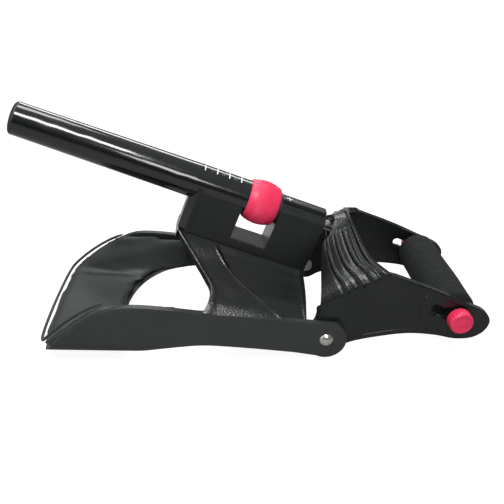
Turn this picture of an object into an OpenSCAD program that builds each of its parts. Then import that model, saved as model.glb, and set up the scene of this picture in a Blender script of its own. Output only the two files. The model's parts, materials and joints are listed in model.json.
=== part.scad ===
// Spring-loaded wrist and forearm exerciser.
// The forearm lies in a padded cradle, the hand holds a grip bar in a yoke that turns on the cradle
// at the wrist, and the yoke pulls a rod out of a spring tube that is carried above the cradle.
// Frame: origin in the middle of the flat underside that the cradle rests on, +X towards the hand,
// +Y to the far side, +Z up, in millimetres. The shapes below are drawn from the wrist axis, and
// seated() moves each finished piece into the frame.

/* [Cradle] */
// Outside width over the two cradle arms
arm_span = 130; // [124:1:136]
// Wall thickness of the cradle shell
shell_wall = 5; // [4:0.5:6]
// Depth of the trough's flat underside below the wrist axis
cradle_drop = 19; // [18:0.5:19.5]
// Depth of the rounded trough section below the start of its curve
trough_round = 23.5; // [23:0.5:25]
// Thickness of the forearm pad
pad_thickness = 7; // [5:0.5:8]

/* [Spring tube] */
// Tilt of the spring tube, front end down, in degrees
tube_tilt = 21.4; // [20:0.1:23]
// Distance from the wrist axis to the tube's axis, square to the tube
tube_lift = 62; // [61:0.5:63]
// Outside radius of the spring tube where it is guided
tube_r = 13.5; // [13:0.25:14]
// Outside radius of the spring tube at its rear end
tube_rear_r = 12.2; // [11.5:0.1:13]
// Bore radius of the spring tube
tube_bore_r = 10; // [9.5:0.25:10.5]
// Radius of the threaded neck at the front of the tube
neck_r = 8.45; // [8:0.05:8.6]
// Radius of the pull rod
rod_r = 4; // [3.5:0.25:4.25]

/* [Adjusting ring] */
// Length of the ring along the tube
ring_len = 24; // [22:1:25]
// Radius of the ring at its rims
ring_rim_r = 14.2; // [14:0.1:15]
// Radius of the ring at its middle
ring_belly_r = 17; // [16.5:0.5:18]

/* [Yoke] */
// Thickness of each yoke side plate
plate_wall = 5; // [4:0.5:5]
// Length that the grip can be moved along its slots
slot_travel = 18.8; // [16:0.2:19]

/* [Grip] */
// Radius of the foam sleeve
foam_r = 16.2; // [14:0.1:17]
// Length of the foam sleeve
foam_len = 106; // [80:2:106]
// Radius of the clamping knobs
knob_r = 8.9; // [8.5:0.1:10]

/* [Main spring] */
// Number of turns in the coil
spring_turns = 20; // [16:1:22]
// Mean radius of the coil
spring_mean_r = 7.5; // [7:0.25:8]
// Radius of the spring wire
wire_r = 1.2; // [1:0.1:1.3]

/* [Hidden] */

$fn = 96;
seat_x = 170;                    // wrist axis ahead of the middle of the flat underside
eps = 0.02;                      // hidden overlap between joined shapes
gap = 0.05;                      // running clearance on a radius, and between touching faces

arm_y = arm_span / 2;            // outer face of each arm
arm_in = arm_y - shell_wall;     // inner face of each arm
plate_out = arm_in - 0.5;        // outer face of each yoke plate
plate_in = plate_out - plate_wall;

// Stations along the tube, measured from the foot of the square line to the wrist axis
tube_rear = -258;
saddle_rear = -121;
saddle_front = -86;
ring_rear = -84;
ring_front = ring_rear + ring_len;
insert_rear = -70;               // the tube's shoulder rests at the ring's threaded insert
housing_rear = -58;
housing_front = -22;
neck_front = -26;
pin_u = -9;                      // cross pin that joins the rod to the yoke
taper_start = -125;              // the tube is straight from here forwards
roof_n = -37;                    // top of the arch, under the tube's axis
tongue_n = -30.5;                // top of the housing's foot under the ring
crown_n = 11.3;                  // top of the front housing over the tube's axis
spring_front = insert_rear - 6;
spring_rear = spring_front - 160;

rivet_r = 3.5;
rivet_head_r = 5.15;
boss_r = 15;                     // hinge end of each arm
lug_r = 13;                      // hinge end of each yoke plate

grip_x = 98.4;                   // grip bar at the front end of its slots
grip_z = 13.2;
slot_back = 157.4;               // direction of the slots in the XZ plane, in degrees
bar_r = 8;
stud_r = 3;
slot_r = stud_r + 0.3;

// ---------- helpers ----------

// Catmull-Rom point on the list p, at t from 0 to len(p) - 1
function pick(p, i) = p[max(0, min(len(p) - 1, i))];
function curve_at(p, t) =
    let (i = min(floor(t), len(p) - 2), f = t - i,
         a = pick(p, i - 1), b = pick(p, i), c = pick(p, i + 1), d = pick(p, i + 2))
    0.5 * (2 * b + (c - a) * f + (2 * a - 5 * b + 4 * c - d) * f * f
           + (3 * b - a - 3 * c + d) * f * f * f);
// The whole curve with k pieces between neighbouring points
function curve(p, k) = [for (i = [0 : (len(p) - 1) * k]) curve_at(p, i / k)];
// Points on an arc in the plane
function arc(c, r, a0, a1, k) =
    [for (i = [0 : k]) c + r * [cos(a0 + (a1 - a0) * i / k), sin(a0 + (a1 - a0) * i / k)]];

// Children drawn in the tube's frame: x along the tube, z square to it, axis at z = 0
module tube_frame() {
    rotate([0, tube_tilt, 0]) translate([0, 0, tube_lift]) children();
}
// A finished piece, moved from the wrist axis into the part's frame
module seated() {
    translate([seat_x, 0, cradle_drop]) children();
}
// Cylinder along local X from x0 to x1
module rod_x(x0, x1, r, r_end = -1) {
    translate([x0, 0, 0]) rotate([0, 90, 0]) cylinder(h = x1 - x0, r1 = r, r2 = r_end < 0 ? r : r_end);
}
// Cylinder along Y from y0 to y1 through x, z
module rod_y(x, z, y0, y1, r, r_end = -1) {
    translate([x, y0, z]) rotate([-90, 0, 0])
        cylinder(h = y1 - y0, r1 = r, r2 = r_end < 0 ? r : r_end);
}
// Ring along local X
module ring_x(x0, x1, r, bore) {
    difference() {
        rod_x(x0, x1, r);
        rod_x(x0 - 1, x1 + 1, bore);
    }
}
// Side outline in the XZ plane, drawn from y0 to y1
module side_slab(points, y0, y1) {
    translate([0, y1, 0]) rotate([90, 0, 0]) linear_extrude(height = y1 - y0) polygon(points);
}
// The same child on the near side and, mirrored, on the far side
module both_sides() {
    children();
    mirror([0, 1, 0]) children();
}

// Closed solid between two grids of points: outer[i][j] on top of inner[i][j],
// with i running towards +X and j towards +Y
module shell_between(outer, inner) {
    n = len(outer);
    m = len(outer[0]);
    pts = concat([for (row = outer) each row], [for (row = inner) each row]);
    function o(i, j) = i * m + j;
    function k(i, j) = (n + i) * m + j;
    faces = [
        for (i = [0 : n - 2], j = [0 : m - 2]) each [
            [o(i, j), o(i, j + 1), o(i + 1, j + 1)], [o(i, j), o(i + 1, j + 1), o(i + 1, j)],
            [k(i, j), k(i + 1, j + 1), k(i, j + 1)], [k(i, j), k(i + 1, j), k(i + 1, j + 1)]],
        for (j = [0 : m - 2]) each [
            [o(0, j + 1), o(0, j), k(0, j)], [o(0, j + 1), k(0, j), k(0, j + 1)],
            [o(n - 1, j), o(n - 1, j + 1), k(n - 1, j + 1)], [o(n - 1, j), k(n - 1, j + 1), k(n - 1, j)]],
        for (i = [0 : n - 2]) each [
            [o(i, 0), o(i + 1, 0), k(i + 1, 0)], [o(i, 0), k(i + 1, 0), k(i, 0)],
            [o(i + 1, m - 1), o(i, m - 1), k(i, m - 1)], [o(i + 1, m - 1), k(i, m - 1), k(i + 1, m - 1)]]];
    polyhedron(points = pts, faces = faces, convexity = 8);
}

// ---------- cradle ----------

// Top edge of the arms as a height over X
function arm_top(x) = 10.2 - 0.1715 * x;

// Side outline of shell and arms, from the trough's rear tip over the rim to the wrist and back
rim_line = curve([[-217, -24], [-208.5, -9], [-199, 3.5], [-182, 17], [-161, 28.5], [-146, 32.6],
                  [-125, 31.3], [-95, 26.5]], 6);
wrist_line = arc([0, 0], boss_r, 58, -118, 24);
belly_line = curve([[-24, -9.6], [-61, -4.2], [-92, -1], [-118, -3], [-134, -6.6], [-148, -11.4],
                    [-157, -16.3], [-161, -24]], 6);
cradle_outline = concat(rim_line, wrist_line, belly_line);

// Section of the trough across the arm: sides upright, then a low oval, flat underneath
oval_z = 2.5;                    // height where the sides start to curve in
trough_pitch = 3.4;              // the trough rises towards its rear end, in degrees
pitch_x = -150;
floor_z = oval_z - trough_round + shell_wall;
module pitched() {
    translate([pitch_x, 0, 0]) rotate([0, trough_pitch, 0]) translate([-pitch_x, 0, 0]) children();
}
module trough_section(half, depth, top) {
    polygon(concat([for (i = [0 : 90])
                       [half * cos(180 + 2 * i), oval_z + depth * sin(180 + 2 * i)]],
                   [[half, top], [-half, top]]));
}
module trough_wall(inset, wall, x0, x1) {
    half = arm_y - inset;
    depth = trough_round - inset;
    pitched() translate([x0, 0, 0]) rotate([90, 0, 90]) linear_extrude(height = x1 - x0)
        difference() {
            trough_section(half, depth, 60);
            trough_section(half - wall, depth - wall, 61);
        }
}

module cradle_shell() {
    arm_start = -106;
    color("dimgray") seated() difference() {
        union() {
            intersection() {
                side_slab(cradle_outline, -arm_y - 1, arm_y + 1);
                translate([-240, -arm_y - 1, -60]) cube([240 + arm_start + eps, 2 * arm_y + 2, 150]);
                trough_wall(0, shell_wall, -230, arm_start + 4);
            }
            both_sides() intersection() {
                side_slab(cradle_outline, arm_in, arm_y);
                translate([arm_start, 0, -40]) cube([150, arm_span, 100]);
            }
        }
        rod_y(0, 0, -arm_y - 1, arm_y + 1, rivet_r + gap);
        both_sides() for (x = arch_screw_x)
            rod_y(x, arm_top(x) - 6, arm_in - 1, arm_y - 0.9, 1.6);
        pitched() for (x = pad_stud_x)
            translate([x, 0, floor_z - shell_wall - 1]) cylinder(h = 12, r = 2.5);
        translate([-230, -arm_y, -cradle_drop - 10]) cube([100, 2 * arm_y, 10]);
    }
}

// Pad: the same trough, one wall further in, standing proud of the rim
pad_top = curve([[-223, -21], [-214.5, -8], [-203, 6.5], [-184, 21.5], [-164, 31.8], [-148, 33.4],
                 [-125, 29.5], [-101, 25]], 6);
pad_front = curve([[-101, 2.6], [-119, 0.9], [-133, -2.6], [-147, -7.3], [-154, -10.8], [-158, -19]], 6);
pad_stud_x = [-203, -172];
arch_screw_x = [-74, -52];

module forearm_pad() {
    color("darkslategray") seated() difference() {
        intersection() {
            side_slab(concat(pad_top, pad_front), -arm_y, arm_y);
            trough_wall(shell_wall + gap, pad_thickness, -235, -98);
        }
        pitched() for (x = pad_stud_x) translate([x, 0, floor_z - 1]) cylinder(h = 4, r = 4.1);
    }
}
// Two push-in studs that hold the pad to the trough's floor
module pad_studs() {
    color("black") seated() pitched() for (x = pad_stud_x) translate([x, 0, floor_z]) {
        translate([0, 0, 2 * gap]) cylinder(h = 2, r = 4);
        translate([0, 0, 2 - shell_wall]) cylinder(h = shell_wall - 1, r = 2.4);
    }
}

// ---------- arch that carries the tube ----------

// Top of the arch under the tube, as a height over X
function roof_z(x) =
    let (n = tube_lift + roof_n, u = (x - n * sin(tube_tilt)) / cos(tube_tilt))
    n * cos(tube_tilt) - u * sin(tube_tilt);
// Half section: distance from the middle, share of the height, rear edge, step line, front edge
arch_rule = [
    [14, 1, -108, -80, -11.5], [20, 0.87, -103, -77, -11.5], [28, 0.67, -95.5, -71, -11.5],
    [38, 0.5, -88.5, -61, -12], [48, 0.37, -84, -49, -13], [58, 0.2, -86, -36, -14],
    [64.4, 0.015, -90.5, -27, -14]];
arch_steps = 3;                  // pieces between two rows of the rule
arch_recess = 1.2;               // the front part lies this much deeper than the rear ribbon
arch_half = curve(arch_rule, arch_steps);
function arch_z(x, share) = arm_top(x) + (roof_z(x) - arm_top(x)) * share;
// Outward direction of the section at point j, in the YZ plane
function arch_normal(j, x) =
    let (a = pick(arch_half, j - 1), b = pick(arch_half, j + 1),
         dy = b[0] - a[0], dz = arch_z(x, b[1]) - arch_z(x, a[1]), len = norm([dy, dz]))
    j == 0 ? [0.38, 0.92] : [-dz, dy] / len;
// X of station t (0 rear edge, 1 step line, 2 front edge) on section row q
function arch_x(q, t) = t <= 1 ? q[2] + (q[3] - q[2]) * t : q[3] + (q[4] - q[3]) * (t - 1);
// Point at depth d under the outer surface
function arch_point(j, t, d) =
    let (q = arch_half[j], x = arch_x(q, t), nn = arch_normal(j, x),
         deep = d + (t > 1 ? arch_recess * min(1, j / 3) * min(1, (len(arch_half) - 1 - j) / 3) : 0))
    [x, q[0] - nn[0] * deep, arch_z(x, q[1]) - nn[1] * deep];
arch_stations = concat([for (i = [0 : 6]) i / 6], [1.02], [for (i = [1 : 8]) 1 + i / 8]);
function arch_wall(j) = 7 - 2.4 * j / (len(arch_half) - 1);
// Flange that hangs inside each arm and takes the screws
function flange_depth(t) = t < 1.3 ? 11 : 0.6;
function arch_row(t, inner) =
    let (last = len(arch_half) - 1,
         half = [for (j = [0 : last]) arch_point(j, t, inner ? arch_wall(j) : 0)],
         x = arch_x(arch_half[last], t), z = arm_top(x) + gap, face = arm_in - gap,
         foot = inner
            ? [[x, face - 3.4, z], [x, face - 3.4, z - flange_depth(t)]]
            : [[x, face, z], [x, face, z - flange_depth(t)]],
         side = concat([[half[0][0], 0, half[0][2]]], half, foot),
         n = len(side))
    concat([for (i = [n - 1 : -1 : 1]) [side[i][0], -side[i][1], side[i][2]]], side);

module arch_body() {
    color("black") seated() shell_between(
        [for (t = arch_stations) arch_row(t, false)],
        [for (t = arch_stations) arch_row(t, true)]);
}
// Screws from inside the flanges into the arms
module arch_screws() {
    color("silver") seated() both_sides() for (x = arch_screw_x) {
        z = arm_top(x) - 6;
        rod_y(x, z, arm_in - 5.6, arm_in - 3.5, 3, 3);
        rod_y(x, z, arm_in - 4, arm_y - 1.2, 1.5);
    }
}

// Section of the blocks under the tube, from the arch up to height top
module block(u0, u1, half, bottom, top) {
    translate([u0, -half, bottom]) cube([u1 - u0, 2 * half, top - bottom]);
}

module rear_saddle() {
    flange = 2.5;
    wide = tube_r + 1.2;
    bulge = 5;
    color("black") seated() tube_frame() difference() {
        union() {
            block(saddle_rear + flange - eps, saddle_front, tube_r - 0.5, roof_n + gap, -1);
            // rear flange, chamfered towards both sides
            translate([0, 0, roof_n + gap]) linear_extrude(height = -1 - roof_n)
                polygon([[saddle_rear + flange, -wide], [saddle_rear + flange, wide],
                         [saddle_rear, wide], [saddle_rear - bulge, wide - 8],
                         [saddle_rear - bulge, 8 - wide], [saddle_rear, -wide]]);
        }
        rod_x(saddle_rear - bulge - 1, saddle_front + 1, tube_r + gap);
        for (u = [saddle_rear + 9, saddle_front - 8]) translate([u, 0, roof_n - 1])
            cylinder(h = 16, r = 1.9);
    }
}

// Rounded crown of the front housing: a low arch with tighter shoulders
module housing_section() {
    half = tube_r;
    shoulder = 8;
    crown_r = 17;
    intersection() {
        union() {
            translate([0, crown_n - crown_r]) circle(r = crown_r);
            translate([-half, roof_n]) square([2 * half, -roof_n - 2]);
        }
        union() {
            translate([-half, roof_n + gap]) square([2 * half, -roof_n]);
            for (s = [-1, 1]) translate([s * (half - shoulder), 0]) circle(r = shoulder);
            translate([-(half - shoulder), 0]) square([2 * (half - shoulder), 20]);
        }
    }
}
module front_housing() {
    color("black") seated() tube_frame() difference() {
        union() {
            translate([housing_rear, 0, 0]) rotate([90, 0, 90])
                linear_extrude(height = housing_front - housing_rear) housing_section();
            block(saddle_front + gap, housing_rear + eps, tube_r - 0.5, roof_n + gap, tongue_n);
        }
        // bore for the tube's neck, and the seat of the rod's bush
        rod_x(housing_rear - 1, neck_front + 1, neck_r + gap);
        rod_x(neck_front, housing_front + 1, 6);
        for (u = [housing_rear + 8, housing_front - 8]) translate([u, 0, roof_n - 1])
            cylinder(h = 16, r = 1.9);
    }
}
module saddle_screws() {
    color("silver") seated() tube_frame()
        for (u = [saddle_rear + 9, saddle_front - 8, housing_rear + 8, housing_front - 8])
            translate([u, 0, roof_n]) {
                translate([0, 0, -9.6]) cylinder(h = 2.4, r = 3.2);
                translate([0, 0, -7.5]) cylinder(h = 20, r = 1.85);
            }
}
module rod_guide_bush() {
    color("gold") seated() tube_frame() ring_x(neck_front + 1.05, housing_front, 6, rod_r + gap);
}
// Small pointer cross on the housing beside the ring
module housing_mark() {
    mark_u = housing_rear + 5;
    color("white") seated() tube_frame() translate([mark_u, -3.2, crown_n - 0.45]) {
        translate([-2.6, -0.35, 0]) cube([5.2, 0.7, 0.5]);
        translate([-0.35, -2.6, 0]) cube([0.7, 5.2, 0.5]);
    }
}

// ---------- wrist hinge ----------

module hinge_rivets() {
    color("silver") seated() both_sides() {
        rod_y(0, 0, plate_in - 2.2, arm_y + 0.5, rivet_r);
        rod_y(0, 0, plate_in - 2.2, plate_in - gap, 5.5);
        // domed head: the part of a sphere outside the arm
        intersection() {
            translate([0, arm_y + 2.4 - 6.73, 0]) sphere(r = 6.73);
            rod_y(0, 0, arm_y + gap, arm_y + 4, rivet_head_r);
        }
    }
}
module hinge_washers() {
    color("silver") seated() both_sides() difference() {
        rod_y(0, 0, plate_out + gap, arm_in - gap, 9);
        rod_y(0, 0, plate_out - 1, arm_in + 1, rivet_r + gap);
    }
}
module hinge_bushes() {
    color("gold") seated() both_sides() difference() {
        rod_y(0, 0, plate_in, plate_out, 6);
        rod_y(0, 0, plate_in - 1, plate_out + 1, rivet_r + gap);
    }
}

// ---------- yoke ----------

// Edge of a side plate from the hinge along the underside, round the tip and back along the top
yoke_edge = curve([[9, -9.6], [23, -4.6], [46, -0.9], [64, 0.2], [83, -2.1], [98, -5.8], [111, -5.6],
                   [120, -0.6], [123.6, 8], [119.4, 16.4], [109, 22], [97, 27.6], [85, 33.5],
                   [72, 39.5], [60, 44.6], [50, 48.8], [44, 50.6]], 5);
yoke_rear = curve([[40, 48.4], [20, 38.8], [5, 30.6], [-3, 24.6], [-7, 16], [-11, 7]], 5);
yoke_outline = concat(yoke_edge, yoke_rear, arc([0, 0], lug_r, 150, 300, 18));

// Half section of the web: distance from the middle, rear X and Z, front X and Z
web_rule = [
    [14.5, 8, 64, 24.6, 71.6], [17, 2.5, 57.5, 25.2, 70.4], [21, 1, 52.5, 26.2, 68.6],
    [27, -0.6, 47.5, 27.5, 66], [36, -1.8, 43, 29.5, 62], [46, -3, 39.2, 32.6, 58.2],
    [54, -4, 34.5, 39, 54.8], [59.4, -5, 27, 44.5, 51.4]];
web_half = curve(web_rule, 3);
web_stations = [for (i = [0 : 9]) i / 9];
web_wall = 4.8;
// Hood over the rod's end, at the middle: rear and front X and Z, and its thinner wall
hood_rule = [13, 71, 24, 73.2];
hood_wall = 2.4;
function web_top(j, t) =
    let (q = pick(web_half, j), rise = 1.6 * sin(180 * t) * (j > 0 ? 1 : 0))
    [q[1] + (q[3] - q[1]) * t, q[0], q[2] + (q[4] - q[2]) * t + rise];
// Three grooves between raised ribs, fanning down from the bridge
function web_flute(j, t) =
    let (last = len(web_half) - 1, s = j / last, fade = sin(180 * min(1, max(0, s * 1.05))))
    0.9 * fade * max(0, cos(360 * 3 * t)) * (t > 0.12 && t < 0.88 ? 1 : 0);
function web_point(j, t, d) =
    let (a = web_top(max(j - 1, 0), t), b = web_top(min(j + 1, len(web_half) - 1), t),
         dy = b[1] - a[1], dz = b[2] - a[2], l = norm([dy, dz]),
         nn = j == 0 ? [0.5, 0.87] : [-dz / l, dy / l], p = web_top(j, t))
    [p[0], p[1] - nn[0] * d, p[2] - nn[1] * d];
// The wall grows from the thin hood to the full web within a few rows
function web_depth(j) = hood_wall + (web_wall - hood_wall) * min(1, j / 4);
function web_row(t, inner) =
    let (last = len(web_half) - 1,
         half = [for (j = [0 : last]) web_point(j, t, inner ? web_depth(j) : web_flute(j, t))],
         crown = [hood_rule[0] + (hood_rule[2] - hood_rule[0]) * t, 0,
                  hood_rule[1] + (hood_rule[3] - hood_rule[1]) * t - (inner ? hood_wall : 0)],
         side = concat([crown], half), n = len(side))
    concat([for (i = [n - 1 : -1 : 1]) [side[i][0], -side[i][1], side[i][2]]], side);

// Cross pin: distance from the wrist axis, square to the tube and direct
pin_n = 62;
pin_radius = norm([pin_u, pin_n]);
pin_angle = atan(pin_u / pin_n);     // turn from the square line to the pin
pin_rise = 3;                        // how far the pin climbs in its slots
pin_r = 2;
pin_slot_r = pin_r + 1.1;

module slot_cut(x, z, angle, length, r, y0, y1) {
    rod_y(x, z, y0, y1, r);
    rod_y(x + length * cos(angle), z + length * sin(angle), y0, y1, r);
    translate([x, 0, z]) rotate([0, -angle, 0]) translate([0, y0, -r]) cube([length, y1 - y0, 2 * r]);
}

cheek_in = 5.4;                      // the rod's eye turns between the two cheeks
cheek_out = 10.5;

// Two side plates with hinge bores, grip slots and detent seats in their outer faces
module yoke_plates() {
    seat_r = 5.4;
    seat_depth = 1.2;
    color("black") seated() both_sides() difference() {
        side_slab(yoke_outline, plate_in, plate_out);
        rod_y(0, 0, plate_in - 1, plate_out + 1, 6);
        slot_cut(grip_x, grip_z, slot_back, slot_travel, slot_r, plate_in - 1, plate_out + 1);
        for (i = [0 : 2])
            rod_y(grip_x + i * slot_travel / 2 * cos(slot_back),
                  grip_z + i * slot_travel / 2 * sin(slot_back), plate_out - seat_depth, plate_out + 1,
                  seat_r);
    }
}
// Ribbed webs and hood that join the two plates over the rod's end
module yoke_hood() {
    color("black") seated() shell_between([for (t = web_stations) web_row(t, false)],
                                 [for (t = web_stations) web_row(t, true)]);
}
// Slotted cheeks under the hood that carry the cross pin
module pin_cheeks() {
    pin_dir = 90 - tube_tilt - pin_angle;    // direction of the pin slots in the XZ plane
    color("dimgray") seated() both_sides() difference() {
        side_slab([[8.5, 51], [25, 51], [24, 69.8], [15, 68.8], [9.5, 65]], cheek_in, cheek_out);
        slot_cut((pin_radius - 1) * cos(pin_dir), (pin_radius - 1) * sin(pin_dir), pin_dir,
                 pin_rise + 1, pin_slot_r, cheek_in - 1, cheek_out + 1);
    }
}

// ---------- spring tube ----------

module spring_tube() {
    front_wall = 4;
    color("black") seated() tube_frame() difference() {
        union() {
            rod_x(tube_rear, taper_start, tube_rear_r, tube_r);
            rod_x(taper_start - eps, insert_rear, tube_r);
            rod_x(insert_rear - eps, neck_front, neck_r);
        }
        rod_x(tube_rear - 1, insert_rear - front_wall, tube_bore_r);
        rod_x(insert_rear - front_wall - 1, neck_front + 1, rod_r + 0.6);
    }
}
// Domed plug that closes the tube's rear end
module tube_end_plug() {
    skirt = 10;
    dome = 3;
    color("black") seated() tube_frame() translate([tube_rear, 0, 0]) rotate([0, 90, 0]) rotate_extrude()
        polygon(concat([[0, skirt], [0, -dome]],
                       arc([tube_rear_r - dome, 0], dome, -90, -2, 8),
                       [[tube_rear_r, -gap], [tube_bore_r - gap, -gap], [tube_bore_r - gap, skirt]]));
}
// Five printed ticks and their base line, read at the saddle's rear edge
tick_pitch = 9.5;
module tube_scale() {
    color("white") seated() tube_frame() intersection() {
        ring_x(saddle_rear - 3, ring_rear - 0.3, tube_r + 0.12, tube_r);
        for (i = [0 : 4]) translate([saddle_rear - 0.6 + i * tick_pitch, -6.4, 0])
            cube([0.8, 7, tube_r + 2]);
    }
}
module front_spring_seat() {
    color("silver") seated() tube_frame()
        ring_x(spring_front, insert_rear - 4 - gap, tube_bore_r - 0.2, rod_r + gap);
}

// Coil with flat end turns, as one swept wire
spring_steps = 10;               // stations in one turn
spring_sides = 6;                // corners of the wire's section
module main_spring() {
    length = spring_front - spring_rear - 2 * gap;
    count = spring_turns * spring_steps;
    // axial position: closed up in the first and last turn
    function climb(k) =
        let (f = k / count, e = 1 / spring_turns,
             w = min(1, max(0, (f - e / 2) / (1 - e))))
        wire_r + (length - 2 * wire_r) * w;
    pts = [for (k = [0 : count], s = [0 : spring_sides - 1])
        let (a = 360 * k / spring_steps, b = 360 * s / spring_sides,
             r = spring_mean_r + wire_r * cos(b))
        [spring_rear + gap + climb(k) + wire_r * sin(b), r * cos(a), r * sin(a)]];
    function at(k, s) = k * spring_sides + s % spring_sides;
    faces = concat(
        [for (k = [0 : count - 1], s = [0 : spring_sides - 1])
            each [[at(k, s), at(k + 1, s), at(k + 1, s + 1)], [at(k, s), at(k + 1, s + 1), at(k, s + 1)]]],
        [[for (s = [0 : spring_sides - 1]) at(0, s)]],
        [[for (s = [spring_sides - 1 : -1 : 0]) at(count, s)]]);
    color("silver") seated() tube_frame() polyhedron(points = pts, faces = faces, convexity = 10);
}

// ---------- adjusting ring ----------

module adjust_ring() {
    mid = (ring_rear + ring_front) / 2;
    rise = ring_belly_r - ring_rim_r;
    sag = (ring_len * ring_len / 4 + rise * rise) / (2 * rise);
    turn = asin(ring_len / 2 / sag);
    color("crimson") seated() tube_frame() difference() {
        translate([mid, 0, 0]) rotate([0, 90, 0]) rotate_extrude()
            polygon(concat([[12, -ring_len / 2]],
                           arc([ring_belly_r - sag, 0], sag, -turn, turn, 20), [[12, ring_len / 2]]));
        rod_x(ring_rear - 1, insert_rear, tube_r + gap);
        rod_x(ring_rear, ring_front + 1, 12);
    }
}
module ring_nut_insert() {
    color("gold") seated() tube_frame() ring_x(insert_rear + gap, ring_front, 12, neck_r + gap);
}
module ring_thrust_washer() {
    color("silver") seated() tube_frame() ring_x(ring_front + gap, housing_rear - gap, 12, neck_r + gap);
}

// ---------- pull rod ----------

rod_rear = spring_rear - 10;
module pull_rod() {
    color("silver") seated() tube_frame() difference() {
        union() {
            rod_x(rod_rear, pin_u, rod_r);
            translate([pin_u, 0, 0]) rotate([90, 0, 0]) cylinder(h = 2 * rod_r, r = 4.3, center = true);
        }
        rod_y(pin_u, 0, -20, 20, pin_r + gap);
    }
}
module rod_cross_pin() {
    color("silver") seated() tube_frame() rod_y(pin_u, 0, -9.3, 9.3, pin_r);
}
module pin_clips() {
    color("silver") seated() tube_frame() both_sides() difference() {
        rod_y(pin_u, 0, 4.3, 5.2, 3.2);
        rod_y(pin_u, 0, 4, 6, pin_r + gap);
    }
}
module rear_spring_seat() {
    color("silver") seated() tube_frame() ring_x(spring_rear - 3, spring_rear, tube_bore_r - 0.5, rod_r);
}
module rear_lock_nut() {
    across = 6.5;
    color("silver") seated() tube_frame() difference() {
        translate([spring_rear - 8, 0, 0]) rotate([0, 90, 0])
            cylinder(h = 4.95, r = across / cos(30), $fn = 6);
        rod_x(spring_rear - 9, spring_rear - 2, rod_r);
    }
}

// ---------- grip ----------

cap_wall = 4;
module grip_bar() {
    color("silver") seated() difference() {
        rod_y(grip_x, grip_z, -plate_in + cap_wall, plate_in - cap_wall, bar_r);
        rod_y(grip_x, grip_z, -plate_in, plate_in, bar_r - 2);
    }
}
module foam_grip() {
    half = foam_len / 2;
    nose = 5;
    color("dimgray") seated() translate([grip_x, 0, grip_z]) rotate([-90, 0, 0]) rotate_extrude()
        polygon(concat([[bar_r + gap, -half]],
                       arc([foam_r - nose, nose - half], nose, -90, 0, 8),
                       arc([foam_r - nose, half - nose], nose, 0, 90, 8), [[bar_r + gap, half]]));
}
module grip_end_caps() {
    color("black") seated() both_sides() difference() {
        rod_y(grip_x, grip_z, plate_in - cap_wall + gap, plate_in - gap, bar_r);
        rod_y(grip_x, grip_z, plate_in - cap_wall - 1, plate_in + 1, stud_r);
    }
}
module clamp_studs() {
    color("silver") seated() both_sides() {
        rod_y(grip_x, grip_z, plate_in - cap_wall - 8, knob_out - 1.6, stud_r);
        rod_y(grip_x, grip_z, plate_in - cap_wall - 8, plate_in - cap_wall - gap, bar_r - 2.05);
    }
}
knob_in = plate_out + 2.4;
knob_out = knob_in + 8;
module knob_washers() {
    color("silver") seated() both_sides() difference() {
        rod_y(grip_x, grip_z, plate_out + gap, knob_in - gap, 7);
        rod_y(grip_x, grip_z, plate_out - 1, knob_in + 1, stud_r + gap);
    }
}
// Knob on the far side: a low barrel with finger flutes
module knob() {
    flutes = 20;
    crown = 2;
    color("crimson") seated() difference() {
        translate([grip_x, knob_in, grip_z]) rotate([-90, 0, 0]) rotate_extrude()
            polygon(concat([[0, 0], [knob_r - 0.8, 0], [knob_r, 0.8]],
                           arc([knob_r - crown, 8 - crown], crown, 0, 90, 6), [[0, 8]]));
        rod_y(grip_x, grip_z, knob_in - 1, knob_out - 1.5, stud_r + gap);
        for (i = [0 : flutes - 1])
            rod_y(grip_x + (knob_r + 0.35) * cos(360 * i / flutes),
                  grip_z + (knob_r + 0.35) * sin(360 * i / flutes), knob_in - 1, knob_out + 1, 0.75);
    }
}
module far_knob() {
    knob();
}
module near_knob() {
    mirror([0, 1, 0]) knob();
}

cradle_shell();
forearm_pad();
pad_studs();
arch_body();
arch_screws();
rear_saddle();
front_housing();
saddle_screws();
rod_guide_bush();
housing_mark();
hinge_rivets();
hinge_washers();
yoke_plates();
yoke_hood();
pin_cheeks();
hinge_bushes();
spring_tube();
tube_end_plug();
tube_scale();
front_spring_seat();
main_spring();
adjust_ring();
ring_nut_insert();
ring_thrust_washer();
pull_rod();
rod_cross_pin();
pin_clips();
rear_spring_seat();
rear_lock_nut();
grip_bar();
foam_grip();
grip_end_caps();
clamp_studs();
knob_washers();
near_knob();
far_knob();
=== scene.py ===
"""Looks of the wrist and forearm exerciser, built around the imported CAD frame.

The shape functions work in millimetres from the wrist axis; mesh_from() moves the points to the
part's frame and turns them into metres.
"""
import json
import math

import bmesh
import bpy
import numpy as np
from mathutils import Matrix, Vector


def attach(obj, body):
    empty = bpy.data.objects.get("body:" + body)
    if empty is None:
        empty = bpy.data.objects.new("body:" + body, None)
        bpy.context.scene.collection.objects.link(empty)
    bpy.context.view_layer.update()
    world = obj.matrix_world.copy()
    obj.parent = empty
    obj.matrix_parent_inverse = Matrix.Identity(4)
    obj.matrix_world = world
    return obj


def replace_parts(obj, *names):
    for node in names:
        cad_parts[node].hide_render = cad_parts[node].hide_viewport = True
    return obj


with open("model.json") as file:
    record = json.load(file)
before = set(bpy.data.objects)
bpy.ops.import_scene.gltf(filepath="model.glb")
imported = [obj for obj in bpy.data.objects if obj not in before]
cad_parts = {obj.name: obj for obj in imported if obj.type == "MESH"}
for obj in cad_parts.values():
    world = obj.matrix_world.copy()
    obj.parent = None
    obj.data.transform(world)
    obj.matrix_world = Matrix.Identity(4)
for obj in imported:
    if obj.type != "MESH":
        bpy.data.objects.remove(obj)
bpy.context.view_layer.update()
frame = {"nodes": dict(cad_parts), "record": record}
nodes = frame["nodes"]

MM = 0.001
SEED = 7

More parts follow.
